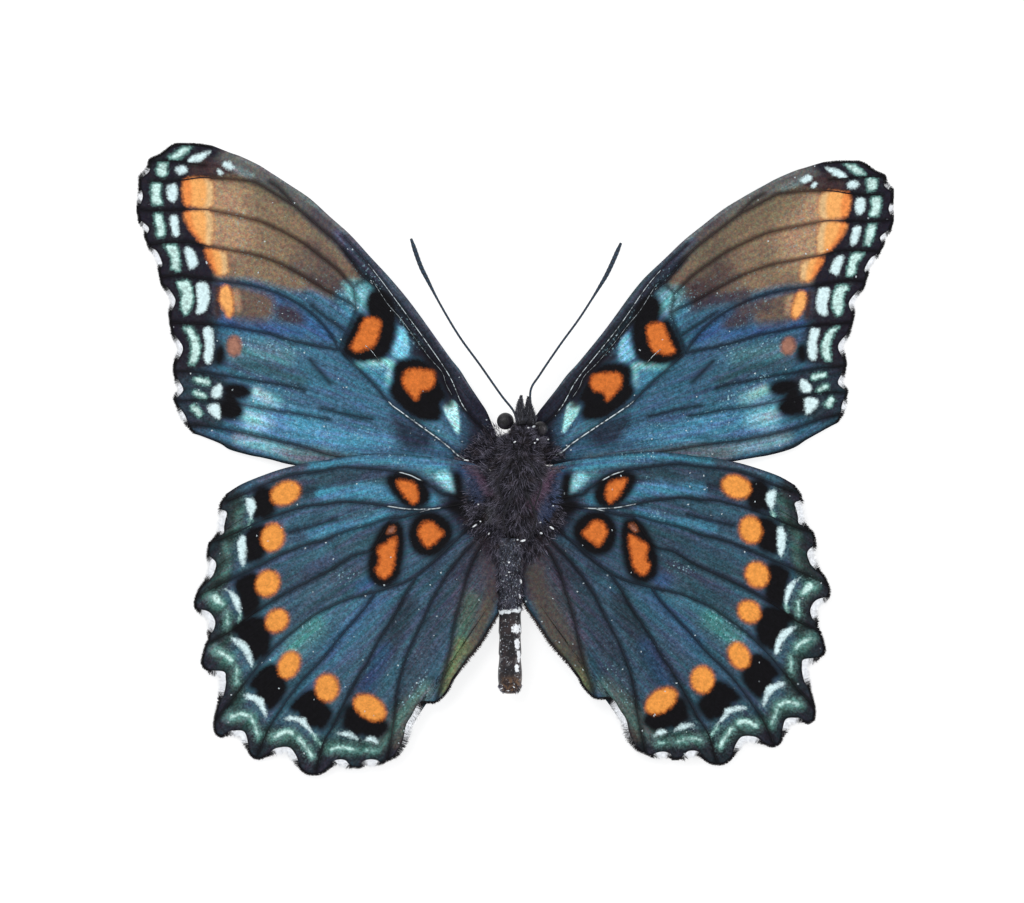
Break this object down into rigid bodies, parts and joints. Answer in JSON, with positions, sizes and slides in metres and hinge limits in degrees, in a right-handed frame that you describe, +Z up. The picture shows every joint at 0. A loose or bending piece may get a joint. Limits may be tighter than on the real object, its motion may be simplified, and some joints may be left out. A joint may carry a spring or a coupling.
{
  "type": "spread butterfly specimen",
  "caption": "Dried butterfly with its wings spread, lying on its back with the patterned underside up.",
  "frame": {"origin": "on the surface the specimen lies on, under the middle of its bounding box", "axes": "+Z up, out of the underside; +Y towards the head; +X across the wings"},
  "size_m": [0.0724, 0.0604, 0.0059],
  "materials": {
    "wing": "iridescent steel-blue scales with black veins, orange spots and pale marginal marks",
    "hair": "dense dark grey-purple hair",
    "eye": "glossy dark dome",
    "abdomen": "dried shell, scaled near the thorax and bare and glossy towards its end",
    "antenna": "dull blue-black thread with a darker club",
    "leg": "thin dark shell with short hair"
  },
  "bodies": {
    "root": {"thorax": "hair", "abdomen": "abdomen", "head": "hair", "eye_left": "eye", "eye_right": "eye", "palp_left": "hair", "palp_right": "hair", "antenna_left": "antenna", "antenna_right": "antenna", "leg_middle_left": "leg", "leg_middle_right": "leg", "leg_hind_left": "leg", "leg_hind_right": "leg", "forewing_left": "wing", "forewing_right": "wing", "hindwing_left": "wing", "hindwing_right": "wing"}
  },
  "joints": []
}
